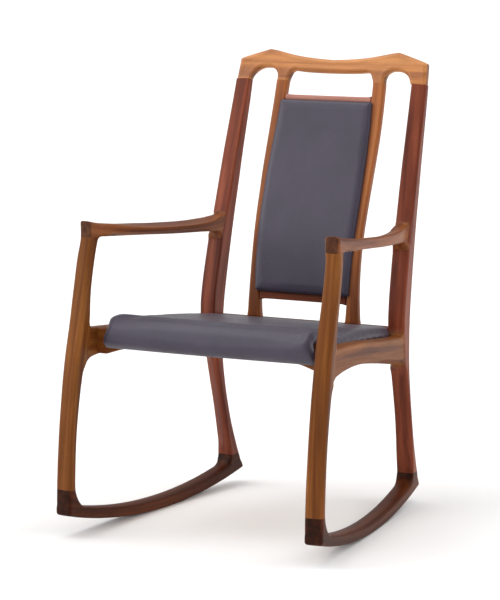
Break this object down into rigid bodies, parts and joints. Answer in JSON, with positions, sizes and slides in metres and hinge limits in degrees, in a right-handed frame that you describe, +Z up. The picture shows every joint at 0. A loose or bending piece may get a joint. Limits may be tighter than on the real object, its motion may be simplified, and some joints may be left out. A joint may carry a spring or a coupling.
{
  "type": "rocking chair",
  "caption": "Open-arm rocking chair with sculpted hardwood side frames on curved rockers, a saddle-shaped crest rail, and padded leather seat and back panel.",
  "frame": {"origin": "on the floor under the centre of the chair's box, at the lowest height of the rockers", "axes": "+Z up, +Y towards the back of the chair, +X towards the chair's side on the right of a viewer who faces its front"},
  "size_m": [0.6244, 0.741, 1.0031],
  "materials": {
    "frame_wood": "oiled satin hardwood, red-brown",
    "crest_wood": "oiled satin hardwood, lighter orange-brown",
    "panel_wood": "oiled satin hardwood, dark red-brown",
    "block_wood": "planed, unfinished",
    "plywood": "unfinished plywood",
    "dowel_wood": "raw beech",
    "upholstery_leather": "smooth semi-aniline, slate grey",
    "screw_steel": "zinc plated"
  },
  "bodies": {
    "root": {"arm_dowels": "dowel_wood", "back_cushion": "upholstery_leather", "back_frame_dowels": "dowel_wood", "back_panel_board": "plywood", "corner_block_screws": "screw_steel", "corner_blocks": "block_wood", "crest_dowels": "dowel_wood", "crest_rail": "crest_wood", "front_seat_rail": "frame_wood", "left_arm": "frame_wood", "left_front_leg": "frame_wood", "left_rear_post": "frame_wood", "left_rocker": "frame_wood", "left_side_rail": "frame_wood", "left_stile": "frame_wood", "panel_bottom_rail": "panel_wood", "panel_top_rail": "panel_wood", "rear_seat_rail": "frame_wood", "right_arm": "frame_wood", "right_front_leg": "frame_wood", "right_rear_post": "frame_wood", "right_rocker": "frame_wood", "right_side_rail": "frame_wood", "right_stile": "frame_wood", "rocker_dowels": "dowel_wood", "seat_board": "plywood", "seat_board_screws": "screw_steel", "seat_cushion": "upholstery_leather", "seat_rail_dowels": "dowel_wood"}
  },
  "joints": []
}
